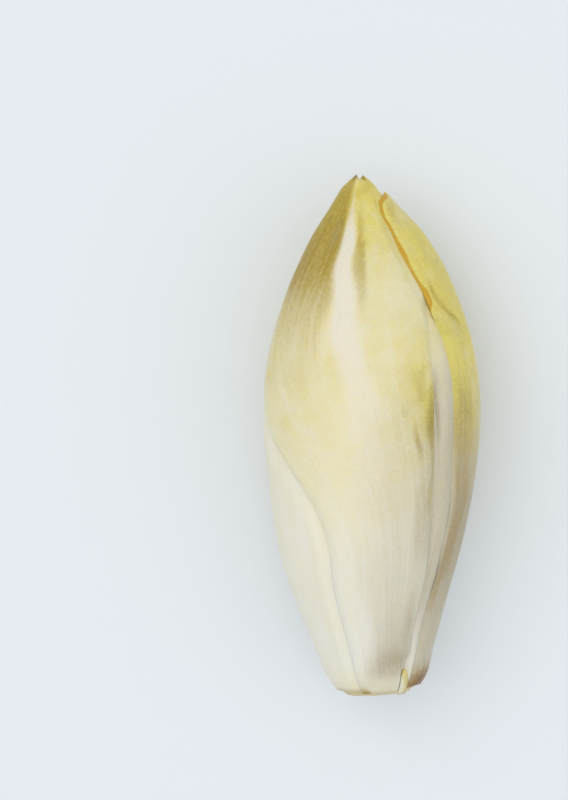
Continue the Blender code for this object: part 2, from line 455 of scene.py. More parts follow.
    def coloured(self, graph: Graph, read: dict[str, Socket]) -> Socket:
        """Colours the blade by its gold, and lays its patches, marks, browned margin and cut end on it.

        Args:
            graph: The material's nodes.
            read: The leaf's patterns by name.

        Returns:
            The colour.
        """
        much = graph.add(
            "Math", {0: read["gold"], 1: self.mottle, 2: self.least_mottle}, operation="MULTIPLY_ADD"
        )
        gold = self.swayed(graph, read["gold"], read["clouds"], much)
        gold = self.swayed(graph, gold, read["streaks"], self.streak)
        for name, fade in (("branch", self.branch_fade), ("net", self.net_fade)):
            gold = graph.add("Math", {0: read[name], 1: fade, 2: gold}, operation="MULTIPLY_ADD")
        colour = graph.add("ValToRGB", {0: gold}, "Color", stops=self.grounds)
        start, end = self.patch_range
        patches = graph.add("MapRange", {0: read["patches"], 1: start, 2: end})
        for share in (read["leafy"], self.patch_share):
            patches = graph.add("Math", {0: patches, 1: share}, operation="MULTIPLY")
        colour = self.blend(graph, patches, colour, self.moss)
        # the tints lay the leaf's own colours, and also its painted shade and painted highlight
        for tint, code, breakup in self.tints:
            mark = read[tint.value]
            amount = self.swayed(graph, mark, read["streaks"], breakup * self.by_streaks)
            amount = self.swayed(graph, amount, read["grain"], breakup * self.by_grain)
            amount = graph.add("Math", {0: amount, 1: mark}, operation="MULTIPLY")
            amount = graph.add(
                "Math", {0: amount, 1: self.tint_strength}, operation="MULTIPLY", use_clamp=True
            )
            colour = self.blend(graph, amount, colour, code)
        wider, least = self.ragged
        ragged = graph.add("Math", {0: read["clouds"], 1: wider, 2: least}, operation="MULTIPLY_ADD")
        reach = graph.add("Math", {0: read["rim"], 1: ragged}, operation="MULTIPLY")
        left = graph.add("Math", {0: reach, 1: read["edge"]}, operation="SUBTRACT")
        start, end = self.rim_fade
        browned = graph.add("MapRange", {0: left, 1: start, 2: end})
        colour = self.blend(graph, browned, colour, self.amber)
        high, low = self.cut_height
        cut = graph.add("MapRange", {0: read["along"], 1: high, 2: low, 3: 0.0, 4: self.cut_strength})
        cut = graph.add("Math", {0: cut, 1: read["clouds"]}, operation="MULTIPLY")
        return self.blend(graph, cut, colour, self.bruise)

    def ridged(self, graph: Graph, read: dict[str, Socket]) -> Socket:
        """Raises the fine crinkles, veins, net, streaks and grain.

        Args:
            graph: The material's nodes.
            read: The leaf's patterns by name.

        Returns:
            The bumped normal.
        """
        height = read["crinkle"]
        for share in (read["gold"], self.crinkle_height):
            height = graph.add("Math", {0: height, 1: share}, operation="MULTIPLY")
        for name, tall in (
            ("vein", self.vein_height), ("branch", self.branch_height), ("net", self.net_height),
            ("streaks", self.streak_height), ("grain", self.grain_height),
        ):
            height = graph.add("Math", {0: read[name], 1: tall, 2: height}, operation="MULTIPLY_ADD")
        inputs = {"Height": height, "Strength": self.bump, "Distance": self.bump_depth}
        return graph.add("Bump", inputs, "Normal")

    @staticmethod
    def line(graph: Graph, phase: Socket, width: float) -> Socket:
        """A thin soft line, 1 on it and 0 off it, wherever the phase is a whole number."""
        near = graph.add("Math", {0: phase, 1: 0.5}, operation="PINGPONG")
        return graph.add("MapRange", {0: near, 1: width, 2: 0.0}, interpolation_type="SMOOTHSTEP")

    @staticmethod
    def swayed(graph: Graph, value: Socket, noise: Socket, amount: Any) -> Socket:
        """A value moved up and down by a noise, by up to the amount, a number or a socket."""
        centred = graph.add("MapRange", {0: noise, 3: -1.0, 4: 1.0})
        return graph.add("Math", {0: centred, 1: amount, 2: value}, operation="MULTIPLY_ADD")

    @staticmethod
    def blend(graph: Graph, share: Socket, under: Socket, code: str) -> Socket:
        """Lays a colour over another, by a share from 0 to 1."""
        inputs = {0: share, 6: under, 7: linear(code)}
        return graph.add("Mix", inputs, 2, data_type="RGBA", clamp_factor=True)


@dataclass(frozen=True)
class StemFinish:
    """Cut chicory stem: pithy and matt, pale in the middle, browned by the air towards its rind."""

    name: str = "Cut_chicory_stem"
    slot: str = "stem"
    pith: str = "#E6DCC0"
    wood: str = "#D9C79A"
    rind: str = "#D3C498"
    roughness: float = 0.6
    radius: float = 9.2 * MM
    wobble: float = 2 * MM
    axis: tuple[float, float] = (-0.7 * MM, 25.7 * MM)  # x and z of the stem's middle
    grain: float = 0.4

    def build(self) -> bpy.types.Material:
        """Wires the finish from rings round the stem's axis.

        Returns:
            The finished material.
        """
        graph = Graph(self.name)
        place = graph.add("TexCoord", {}, "Object")
        centre = (-self.axis[0], 0, -self.axis[1])
        flat = graph.add("Mapping", {"Vector": place, "Location": centre, "Scale": (1, 0, 1)})
        radius = graph.add("VectorMath", {0: flat}, "Value", operation="LENGTH")
        clouds = graph.add("TexNoise", {"Vector": place, "Scale": 400.0, "Detail": 4.0})
        wavy = graph.add("Math", {0: clouds, 1: self.wobble, 2: radius}, operation="MULTIPLY_ADD")
        share = graph.add("MapRange", {0: wavy, 1: 0.0, 2: self.radius + self.wobble / 2})
        rings = (0.0, self.wood), (0.35, self.pith), (0.55, self.wood), (0.72, self.pith), (1.0, self.rind)
        colour = graph.add("ValToRGB", {0: share}, "Color", stops=rings)
        grain = graph.add("TexNoise", {"Vector": place, "Scale": 1500.0, "Detail": 3.0})
        inputs = {"Height": grain, "Strength": self.grain, "Distance": 0.3 * MM}
        bump = graph.add("Bump", inputs, "Normal")
        graph.set(Base_Color=colour, Roughness=self.roughness, Normal=bump, IOR=1.4)
        return graph.material


@dataclass(frozen=True)
class HeartFinish:
    """Packed young leaves at the heart: cream below and yellow towards their tips, finely ribbed."""

    name: str = "Young_chicory_leaves"
    slot: str = "inner_leaf"
    foot: str = "#EAE4CC"
    tip: str = "#D9C768"
    roughness: float = 0.45
    ripening: tuple[float, float] = (-30 * MM, 55 * MM)  # along the head, over which it turns yellow
    ribs: tuple[float, float, float] = (700, 40, 700)  # cells to a metre: 1.4 mm wide and 25 mm long
    rib_shade: float = 0.3
    rib_bump: float = 0.5

    def build(self) -> bpy.types.Material:
        """Wires the finish along the head and round its axis.

        Returns:
            The finished material.
        """
        graph = Graph(self.name)
        place = graph.add("TexCoord", {}, "Object")
        along = graph.add("SeparateXYZ", {0: place}, "Y")
        share = graph.add("MapRange", {0: along, 1: self.ripening[0], 2: self.ripening[1]})
        long = graph.add("Mapping", {"Vector": place, "Scale": self.ribs})
        ribs = graph.add("TexNoise", {"Vector": long, "Scale": 1.0, "Detail": 3.0})
        share = graph.add("Math", {0: ribs, 1: self.rib_shade, 2: share}, operation="MULTIPLY_ADD")
        colour = graph.add("ValToRGB", {0: share}, "Color", stops=((0.1, self.foot), (1.0, self.tip)))
        inputs = {"Height": ribs, "Strength": self.rib_bump, "Distance": 0.4 * MM}
        bump = graph.add("Bump", inputs, "Normal")
        graph.set(Base_Color=colour, Roughness=self.roughness, Normal=bump, IOR=1.42)
        return graph.material


YELLOW = LeafFinish("Yellow_chicory_leaf", "yellow_leaf")
CREAM = LeafFinish("Cream_chicory_leaf", "cream_leaf")
IVORY = LeafFinish("Ivory_chicory_leaf", "ivory_leaf")
SHORT = LeafFinish("Short_chicory_leaf", "leaf_stub")
INSIDE = LeafFinish("Inner_chicory_leaf", "inner_leaf")


@dataclass(frozen=True)
class Mark:
    """A soft-edged streak or spot of one tint on a leaf.

    Its rows are (mm along, angle of its middle, half its width in degrees, strength).
    """

    tint: Tint
    rows: Stations
    soft: float = 0.8

    def cover(self, angle: Array, along: Array) -> Array:
        """The mark's strength at each place."""
        middle, wide, amount = (curve(self.rows, along, column) for column in (1, 2, 3))
        off = np.abs(turned(angle, middle)) / np.maximum(wide, NARROWEST)
        return np.clip(amount, 0, 1) * (1 - step(off, 1 - self.soft, 1 + self.soft))


@dataclass(frozen=True)
class Fold:
    """A long soft ridge or, with a height below 0, a hollow on a leaf.

    Its rows are (mm along, angle of its middle, half its width in degrees, height in mm).
    """

    rows: Stations

    def height(self, angle: Array, along: Array) -> Array:
        """The fold's height in mm at each place."""
        middle, wide, tall = (curve(self.rows, along, column) for column in (1, 2, 3))
        return tall * hump(turned(angle, middle) / np.maximum(wide, NARROWEST))


@dataclass(frozen=True)
class Relief:
    """The veins and soft dents of a leaf's outer face, in mm where nothing else is said."""

    veins: int = 22  # from margin to margin
    vein_height: float = 0.05
    vein_width: float = 0.45
    fainter: float = 0.4  # how much lower some veins run than others
    fainter_cells: tuple[float, float] = (1.7, 30.0)  # cells from vein to vein, and mm to a cell along
    wander: float = 0.9  # how far a vein strays, in spaces between veins
    wander_cells: tuple[float, float] = (9.0, 40.0)  # cells over half the leaf, and mm to a cell along
    dent: float = 0.20
    dent_size: float = 13.0
    dent_stretch: float = 1.8  # how much longer a dent is along the leaf than across it
    branch_spacing: float = 3.4
    branch_rise: float = 17.0  # from the midrib to the margin
    branch_arch: float = 0.8  # 1 is straight, and less leaves the midrib more steeply
    branch_wander: float = 0.6  # in spaces between the side veins
    branch_cells: tuple[float, float] = (4.0, 9.0)  # as the veins' wander_cells

    def vein_phase(self, across: Array, along: Array, seed: int) -> Array:
        """Counts the long veins from the left margin, so that each vein is a whole number."""
        wide, long = self.wander_cells
        wander = self.wander * soft_noise(across * wide, along / long, seed + Draw.VEIN_PATHS.value)
        return (across * 0.5 + 0.5) * self.veins + wander

    def branch_phase(self, across: Array, along: Array, seed: int) -> Array:
        """Counts the side veins, which leave the midrib and arch up and outwards."""
        wide, long = self.branch_cells
        arch = self.branch_rise * np.abs(across) ** self.branch_arch
        stray = self.branch_wander * soft_noise(across * wide, along / long, seed + Draw.BRANCHES.value)
        return (along - arch) / self.branch_spacing + stray

    def height(self, across: Array, along: Array, reach: Array, seed: int) -> Array:
        """How far the veins and dents stand above the plain blade.

        Args:
            across: -1 to 1 between the margins.
            along: mm from the cut.
            reach: mm over the skin from the leaf's middle to its margin.
            seed: Picks the pattern.

        Returns:
            The height in mm.
        """
        phase = self.vein_phase(across, along, seed)
        off = np.abs(phase - np.round(phase)) * 2 * reach / self.veins
        wide, long = self.fainter_cells
        strong = soft_noise(np.round(phase) * wide, along / long, seed + Draw.VEIN_HEIGHTS.value)
        lines = self.vein_height * hump(off / self.vein_width)
        lines = lines * (1 - self.fainter + self.fainter * strong)
        size = self.dent_size
        dents = soft_noise(
            across * reach / size, along / (size * self.dent_stretch), seed + Draw.DENTS.value
        )
        return lines + self.dent * dents


@dataclass(frozen=True)
class Leaf:
    """One leaf: the CAD node it stands for, its outline on the head, its thickness and its marks."""

    node: str
    sides: Stations  # (mm along, left margin's angle, right margin's angle)
    foot: float
    tip: float
    drop: float  # mm that its margins end below its tip
    columns: int = 72
    rows: int = 180
    blade: Stations = ((0, 0.9), (0.25, 1.9), (0.5, 1.5), (0.8, 1.0), (1, 0.75))  # mm thick by share
    rib: Stations = ((0, 0.2), (0.2, 1.8), (0.4, 1.5), (0.75, 0.5), (1, 0.1))  # mm more on the midrib
    keel: Stations = ((0, 0), (1, 0))  # mm that the midrib stands up outside
    notch: float = 0.0  # mm deep
    relief: Relief = Relief()
    gold: Stations = ((0, 0.25), (5, 0.1), (50, 0.1), (90, 0.35), (125, 0.7), (143, 0.8))  # yellowness
    rim: Stations = ((0, 0), (143, 0))  # mm of browned margin at each place along
    marks: tuple[Mark, ...] = ()
    folds: tuple[Fold, ...] = ()
    seed: int = 1
    finish: LeafFinish = INSIDE
    ease: int = 4  # cells of the room over which it bridges the leaves outside it
    edge: float = 0.4  # mm thick at the margins
    lip: float = 0.15  # mm that each face rounds in at a margin
    lip_reach: float = 0.6  # mm from the margin
    tuck: float = 0.45  # mm that the side margins press in
    tuck_reach: float = 3.0  # mm from the margin
    rib_width: float = 0.22  # this and the notch in shares of half the leaf's width
    notch_place: float = 0.05
    notch_width: float = 0.16
    tip_power: float = 2.2  # the higher, the blunter the tip
    blade_power: int = 4  # the higher, the fuller the blade beside its margins
    crowding: float = 0.5  # how much the blank's rows and columns crowd towards its margins
    hidden_relief: float = 0.15  # share of the relief left where other leaves cover it
    tallest: float = 0.35  # mm that the relief may stand up
    deepest: float = 0.4  # share of the leaf's thickness that a dent may take
    deepest_fold: float = 0.5  # share of it that a fold may take
    plain_margin: float = 2.5  # mm over which the relief fades out at a margin
    plain_foot: float = 6.0  # mm over which it fades out at the cut
    mark_drift: float = 2.2  # degrees that a mark's outline strays
    drift_cells: tuple[float, float] = (7.0, 9.0)  # degrees and mm to a cell
    widest_rim: float = 5.0  # mm
    rim_side: tuple[float, float] = (-0.2, -0.5)  # only the left margin is browned

    def middle_and_half(self, along: Array) -> tuple[Array, Array]:
        """The angle of the leaf's middle line and half the angle it spans, at each place along."""
        left, right = (curve(self.sides, along, column) for column in (1, 2))
        return (left + right) / 2, (right - left) / 2

    def tip_line(self, across: Array) -> Array:
        """How far along the head the leaf ends, from its middle (0) to its margins (-1 and 1)."""
        split = self.notch * hump((across - self.notch_place) / self.notch_width)
        return self.tip - self.drop * np.abs(across) ** self.tip_power - split

    def share(self, along: Array) -> Array:
        """How far up the leaf a place is, from 0 at its foot to 1 at its tip."""
        return np.clip((along - self.foot) / (self.tip - self.foot), 0, 1)

    def thickness(self, across: Array, along: Array) -> Array:
        """The leaf's thickness in mm: thin margins, a fleshy blade and a thicker midrib."""
        share = self.share(along)
        fullness = 1 - np.clip(across, -1, 1) ** self.blade_power
        swelling = (curve(self.blade, share) - self.edge) * fullness
        return self.edge + swelling + curve(self.rib, share) * hump(across / self.rib_width)

    def take_room(self, room: Room, eased: Array) -> None:
        """Marks the room that the leaf takes.

        Args:
            room: The room inside the head.
            eased: The depth of the leaf's outer face on the room's grid.
        """
        turn = np.arange(room.turns) * 360 / room.turns
        angle, along = np.meshgrid(turn, np.linspace(0, room.form.length, room.steps), indexing="ij")
        middle, half = self.middle_and_half(along)
        across = turned(angle, middle) / half
        inside = (np.abs(across) <= 1) & (along >= self.foot) & (along <= self.tip_line(across))
        reach = eased + self.thickness(across, along) + room.gap
        room.depth = np.where(inside, np.maximum(room.depth, reach), room.depth)

    def blank(self) -> bpy.types.Mesh:
        """A flat slab of grid faces, 2 x 2 x 1, with a UV map across and along the leaf."""
        shape = bmesh.new()
        shape.loops.layers.uv.new("UVMap")
        bmesh.ops.create_grid(
            shape, x_segments=self.columns, y_segments=self.rows, size=1, calc_uvs=True
        )
        grown = bmesh.ops.extrude_face_region(shape, geom=shape.faces[:], use_keep_orig=True)
        tops = [item for item in grown["geom"] if isinstance(item, bmesh.types.BMVert)]
        bmesh.ops.translate(shape, verts=tops, vec=(0, 0, 1))
        return finished(shape, self.node)

    def build(self, room: Room) -> bpy.types.Object:
        """Lays the leaf's blank on the head, under the leaves already laid.

        Args:
            room: The room inside the head, which the leaf then takes its share of.

        Returns:
            The leaf, without its material.
        """
        form = room.form
        eased = room.eased(self.ease)
        mesh = self.blank()
        spots = np.zeros(len(mesh.vertices) * 3)
        mesh.vertices.foreach_get("co", spots)
        x, y, outer = spots.reshape(-1, 3).T
        across = x + self.crowding * np.sin(np.pi * x) / np.pi
        rise = (y + 1) / 2
        rise = rise - self.crowding * np.sin(2 * np.pi * rise) / (2 * np.pi)
        end = self.tip_line(across)
        along = self.foot + (end - self.foot) * rise
        middle, half = self.middle_and_half(along)
        angle = middle + across * half
        covered = room.read(eased, angle, along)
        bare = np.clip(1 - covered / room.gap, 0, 1)
        reach = np.radians(half) * curve(form.half_width, along)
        inner = self.thickness(across, along)
        side = (1 - np.abs(across)) * reach
        edge = np.minimum(side, end - along)
        lip = self.lip * (1 - step(edge, 0, self.lip_reach))
        ridge = curve(self.keel, self.share(along)) * hump(across / self.rib_width) * bare
        shown_relief = self.hidden_relief + (1 - self.hidden_relief) * bare
        bumps = self.relief.height(across, along, reach, self.seed) * shown_relief
        bumps = np.clip(bumps, -self.deepest * inner, self.tallest)
        bumps = bumps * step(edge, 0, self.plain_margin) * step(along, 0, self.plain_foot)
        folds = sum((fold.height(angle, along) for fold in self.folds), np.zeros(len(along)))
        bumps = bumps + np.maximum(folds, -self.deepest_fold * inner * outer)
        face = covered + self.tuck * (1 - step(side, 0, self.tuck_reach))
        under = face + inner - lip - np.maximum(folds, 0)
        depth = np.where(outer > 0.5, face - ridge - bumps + lip, under)
        place = form.skin(angle, along, depth) - form.origin()
        place[:, 2] = np.maximum(place[:, 2], 0)
        mesh.vertices.foreach_set("co", (place * MM).astype(np.float32).ravel())
        self.mark(mesh, across, along, angle, edge)
        self.take_room(room, eased)
        return shown(mesh, self.node)

    def mark(
        self, mesh: bpy.types.Mesh, across: Array, along: Array, angle: Array, edge: Array
    ) -> None:
        """Stores what the leaf's material follows as attributes of its vertices.

        Args:
            mesh: The leaf's mesh.
            across: -1 to 1 between the margins.
            along: mm from the cut.
            angle: Degrees round the head.
            edge: mm from the nearest margin.
        """
        wide, long = self.drift_cells
        drift = self.mark_drift * soft_noise(angle / wide, along / long, self.seed + Draw.MARKS.value)
        values = {tint.value: np.zeros(len(along)) for tint in Tint}
        values[Tint.GOLD.value] = curve(self.gold, along)
        for mark in self.marks:
            values[mark.tint.value] += mark.cover(angle + drift, along)
        values["along"] = along - self.foot
        values["edge"] = edge
        values["rim"] = np.clip(curve(self.rim, along), 0, self.widest_rim) * step(across, *self.rim_side)
        values["veins"] = self.relief.vein_phase(across, along, self.seed)
        values["branches"] = self.relief.branch_phase(across, along, self.seed)
        for name, numbers in values.items():
            layer = mesh.attributes.new(name, "FLOAT", "POINT")
            layer.data.foreach_set("value", numbers.astype(np.float32))


@dataclass(frozen=True)
class StubLeaf(Leaf):
    """The short end of a leaf that was pulled off, at the right of the cut."""

    node: str = "leaf_stub"
    sides: Stations = ((0, 30.5, 45), (3, 29.5, 41.5), (5, 28.7, 39), (7, 28.5, 36))
    foot: float = 0.0
    tip: float = 7.0
    drop: float = 2.5
    columns: int = 24
    rows: int = 40
    blade: Stations = ((0, 0.9), (1, 0.8))
    rib: Stations = ((0, 0.2), (1, 0))
    relief: Relief = Relief(veins=5, dent=0.05)
    gold: Stations = ((0, 0.2), (3, 0.24), (5, 0.4), (7, 0.6))
    seed: int = 11
    finish: LeafFinish = SHORT
    marks: tuple[Mark, ...] = (
        # yellow right side
        Mark(Tint.GOLD, (
            (0, 43, 3.5, 0.4), (3, 39.5, 3.5, 0.4), (5, 36.5, 4, 0.4), (7, 33, 6, 0.4),
        ), soft=0.9),
        Mark(Tint.OLIVE_AND_SHADE, ((0, 44, 3, 0.7), (3, 41, 2.5, 0.4), (5, 38, 3, 0.25), (7, 33, 5, 0.15))),
    )


@dataclass(frozen=True)
class RightLeaf(Leaf):
    """The outermost leaf, round the right flank, with a browned margin under its tip."""

    node: str = "leaf_right"
    sides: Stations = (
        (0, 47, 135), (8, 45, 138), (18, 46, 141), (24, 49.5, 143), (31, 53, 144), (40, 52, 146),
        (49, 52.5, 147), (58, 50, 148), (67, 47.5, 149), (78, 47, 150), (90, 46, 150), (95, 44, 150),
        (102, 41, 149), (106, 39.2, 149), (110, 36.5, 148), (114, 33, 148), (118, 29.3, 148),
        (122, 26.1, 147), (127, 24.6, 146), (131, 23, 144), (133.5, 26.4, 142), (135.3, 32.4, 138),
        (137.8, 46, 128),
    )
    foot: float = 2.2
    tip: float = 137.8
    drop: float = 2.5
    columns: int = 80
    rows: int = 220
    relief: Relief = Relief(veins=20, dent=0.25)
    gold: Stations = ((0, 0.1), (20, 0.08), (40, 0.16), (60, 0.42), (75, 0.66), (88, 0.8), (137, 0.9))
    rim: Stations = (
        (103, 0), (104.7, 0.5), (106, 1.4), (108, 1.8), (110, 1.6), (112, 0.9), (115, 0.75), (117, 0.85),
        (118.5, 1.2), (120.5, 1.35), (122.5, 1.15), (128, 1), (132, 0.8), (134, 1.1), (135.5, 1.6),
        (136.6, 1.2), (137.4, 0.2), (137.8, 0),
    )
    seed: int = 21
    finish: LeafFinish = YELLOW
    folds: tuple[Fold, ...] = (
        # hollow beside the left margin
        Fold(((20, 56, 4, 0), (30, 60, 4, -0.3), (60, 60, 7, -0.4), (80, 57, 6, -0.3), (92, 53, 5, 0))),
        # rounded flank
        Fold(((0, 84, 8, 0), (25, 80, 9, 0.3), (60, 78, 9, 0.45), (95, 74, 9, 0.3), (115, 72, 8, 0))),
        # crease from the margin to the right
        Fold((
            (97, 68, 4, 0), (102, 61, 5, -0.45), (105, 53, 5, -0.4), (109, 47, 4, -0.3), (114, 43, 4, 0),
        )),
        # swellings above and below the crease
        Fold(((106, 62, 7, 0), (112, 54, 8, 0.4), (120, 48, 7, 0.3), (130, 46, 6, 0))),
        Fold(((86, 58, 6, 0), (95, 55, 7, 0.3), (100, 50, 5, 0.25), (104, 44, 4, 0))),
    )
    marks: tuple[Mark, ...] = (
        # brown streak down the left side: painted shade of the yellow wing in the hollow beside the left
        # margin
        Mark(Tint.STAIN_AND_SHADE, (
            (20, 53, 2, 0), (24, 54, 2.5, 0.35), (28, 55.5, 3.5, 0.36), (33, 60, 4.5, 0.42),
            (44, 60, 5.5, 0.45), (52, 63, 8, 0.4), (65, 58, 8, 0.36), (79, 56, 8, 0.3), (92, 54, 7, 0),
        ), soft=0.5),
        # amber patch halfway up: the wing's own yellow, with olive and brown painted shade of the hollow
        # over it
        Mark(Tint.GOLD, (
            (60, 60, 5, 0), (68, 59, 6, 0.3), (76, 57, 7, 0.6), (82, 55, 7, 0.5), (88, 53, 6, 0.3),
            (94, 52, 5, 0),
        ), soft=0.9),
        Mark(Tint.OLIVE_AND_SHADE, (
            (58, 60, 3, 0), (66, 60, 4, 0.2), (73.7, 59, 5, 0.36), (79, 57, 5, 0.42), (83, 55, 4.6, 0.32),
            (88, 53, 3, 0),
        ), soft=0.9),
        Mark(Tint.BRUISE, (
            (73, 58.6, 1, 0), (77, 57, 1.4, 0.16), (81, 55.4, 1.3, 0.18), (84, 54, 0.8, 0),
        ), soft=0.9),
        # olive painted shade along the left margin, and a brown spot and gold below the crease
        Mark(Tint.OLIVE_AND_SHADE, ((62, 51, 3, 0), (72, 50, 3.5, 0.22), (82, 49.5, 3.5, 0.26), (92, 48, 3, 0))),
        Mark(Tint.STAIN_AND_SHADE, ((50, 57, 1.2, 0), (56, 55, 1.3, 0.3), (62, 53.5, 1, 0)), soft=0.9),
        Mark(Tint.GOLD, ((80, 54, 5, 0), (86, 52, 6, 0.2), (94, 52, 6, 0.25), (100, 48, 5, 0)), soft=0.5),
        # olive painted shade in the crease, and an olive spot at the rim's lower end
        Mark(Tint.OLIVE_AND_SHADE, (
            (97, 68, 2, 0), (102, 61, 3, 0.4), (105, 53, 3, 0.35), (110, 46.5, 3, 0.3), (114, 44, 2, 0),
        )),
        Mark(Tint.OLIVE_AND_SHADE, ((98, 43, 2, 0), (101, 42.5, 3, 0.3), (104, 41, 2.5, 0))),
        # olive and gold cast of the upper blade
        Mark(Tint.OLIVE_AND_SHADE, (
            (92, 62, 20, 0), (102, 58, 24, 0.24), (114, 50, 26, 0.28), (124, 46, 20, 0.12),
            (130, 44, 16, 0),
        )),
        Mark(Tint.GOLD, ((94, 56, 24, 0), (104, 54, 26, 0.16), (116, 48, 24, 0.16), (128, 46, 20, 0))),
        # under the tip
        Mark(Tint.OLIVE_AND_SHADE, (
            (124, 32, 4, 0), (129, 36, 6, 0.3), (132, 40, 7, 0.35), (135, 48, 9, 0.25), (137, 55, 6, 0),
        )),
        Mark(Tint.STAIN_AND_SHADE, (
            (127, 36, 4, 0), (130, 37, 6, 0.3), (133, 45, 8, 0.35), (134.5, 52, 8, 0.25), (136, 58, 8, 0),
        ), soft=0.9),
        # light dapples
        Mark(Tint.PALE_AND_HIGHLIGHT, ((110, 48, 6, 0), (113, 47, 7, 0.35), (117, 44, 6, 0))),
        Mark(Tint.PALE_AND_HIGHLIGHT, ((116, 38, 6, 0), (121, 36, 6, 0.3), (127, 36, 6, 0))),
        Mark(Tint.PALE_AND_HIGHLIGHT, ((98, 50, 6, 0), (102, 47, 7, 0.3), (106, 44, 5, 0))),
        # pale flank
        Mark(Tint.PALE_AND_HIGHLIGHT, (
            (0, 90, 10, 0.2), (30, 88, 14, 0.3), (90, 92, 15, 0.5), (115, 98, 9, 0),
        ), soft=0.5),
        # grey-brown painted shade of the lower flank, turned from the light, with a faint brown cast
        Mark(Tint.PAINTED_SHADE, (
            (0, 66, 30, 0.75), (10, 66, 30, 0.7), (25, 70, 32, 0.76), (34, 76, 30, 0.84),
            (46, 78, 30, 0.84), (55, 76, 32, 0.78), (75, 74, 34, 0.52), (92, 84, 30, 0.16),
            (106, 88, 14, 0),
        ), soft=0.4),
        Mark(Tint.STAIN_AND_SHADE, (
            (8, 72, 30, 0), (25, 72, 30, 0.1), (60, 72, 30, 0.16), (78, 72, 30, 0.08), (92, 70, 30, 0),
        ), soft=0.5),
        # pale margin at the foot: its own pale translucent edge, brightened as a painted highlight where
        # the edge catches the light
        Mark(Tint.PALE_AND_HIGHLIGHT, ((5, 48, 3.5, 0.35), (12, 47, 2.5, 0.4), (20, 48, 2.5, 0.3), (30, 54, 3, 0))),
        # browned corner of the foot
        Mark(Tint.OLIVE_AND_SHADE, (
            (2.2, 60, 32, 0.65), (5.5, 64, 28, 0.62), (8, 62, 24, 0.3), (11, 62, 18, 0),
        ), soft=0.5),
        Mark(Tint.STAIN_AND_SHADE, ((2.2, 54, 14, 0.7), (4.5, 56, 15, 0.6), (7, 60, 13, 0.35), (10, 63, 11, 0))),
        Mark(Tint.BRUISE, (
            (2.2, 64, 18, 0.76), (4.4, 66, 18, 0.76), (6.5, 69, 16, 0.56), (9, 72, 12, 0.2),
            (11, 74, 9, 0),
        ), soft=0.85),
        # browned tip
        Mark(Tint.STAIN_AND_SHADE, ((127, 62, 10, 0), (132, 62, 8, 0.25), (136, 62, 6, 0.1)), soft=0.5),
    )


